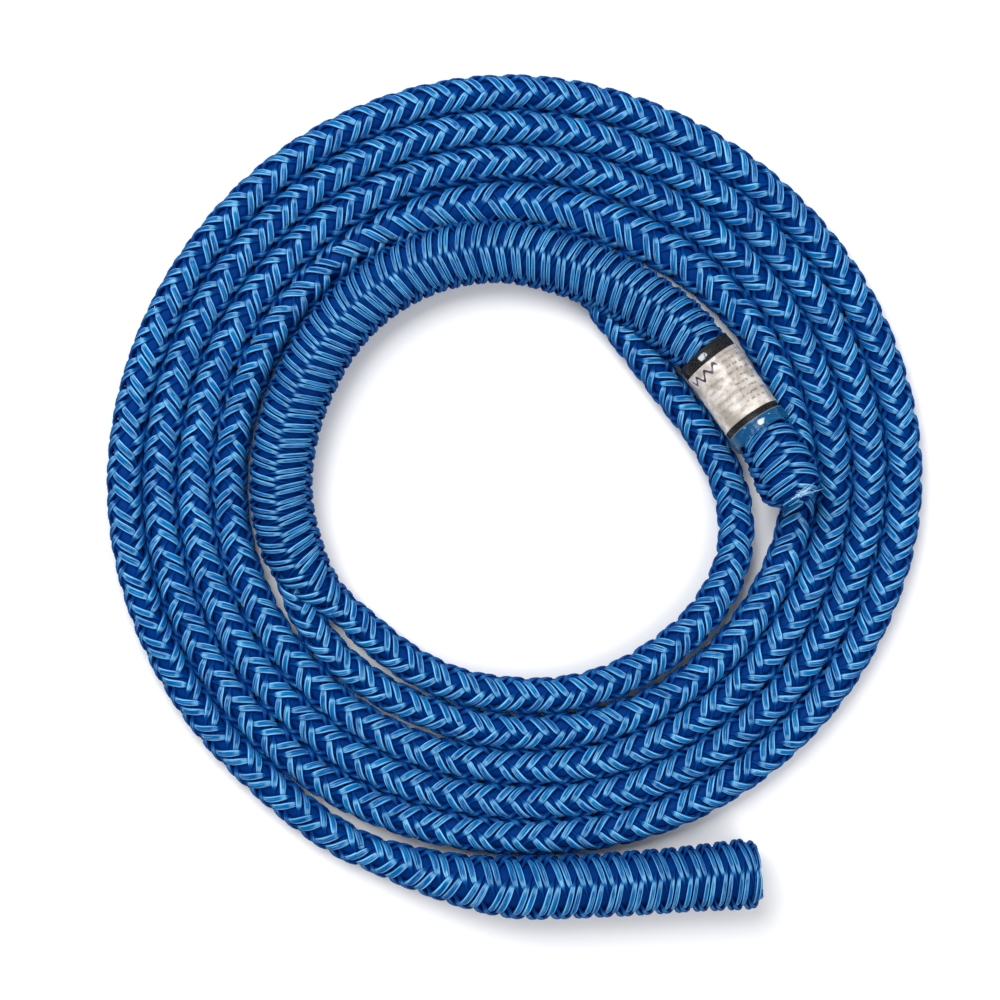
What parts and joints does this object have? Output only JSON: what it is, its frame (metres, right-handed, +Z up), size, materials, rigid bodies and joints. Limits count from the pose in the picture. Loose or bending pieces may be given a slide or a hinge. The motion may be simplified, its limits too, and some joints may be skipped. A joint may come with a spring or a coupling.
{
  "type": "coiled dock line",
  "caption": "Blue hollow-braid mooring rope laid in a flat coil, with a slipping spliced eye, a labelled end under clear film and a thick blunt back splice.",
  "frame": {"origin": "on the ground, under the middle of the coiled rope's bounding box", "axes": "+Z up from the ground the coil lies on; +Y from the blunt back splice, at the near side, across the coil; +X towards the labelled end"},
  "size_m": [0.3836, 0.3978, 0.0464],
  "materials": {
    "blue_rope": "12-strand braid, slightly glossy filament",
    "buried_rope": "the same braid, hidden inside the splice",
    "label_stock": "printed silver-grey label stock",
    "black_shrink": "black shrink sleeve",
    "clear_shrink": "clear glossy shrink film"
  },
  "bodies": {
    "root": {"labelled_end_cover": "blue_rope", "labelled_end_tail": "buried_rope", "black_sleeve": "black_shrink", "label_wrap": "label_stock", "clear_film": "clear_shrink", "bury_cover": "blue_rope", "eye_leg": "blue_rope", "buried_core": "buried_rope", "splice_lead": "blue_rope", "coil_turn_4": "blue_rope", "coil_turn_3": "blue_rope", "coil_turn_2": "blue_rope", "coil_turn_1": "blue_rope", "back_splice_cover": "blue_rope", "back_splice_tail": "buried_rope"}
  },
  "joints": []
}
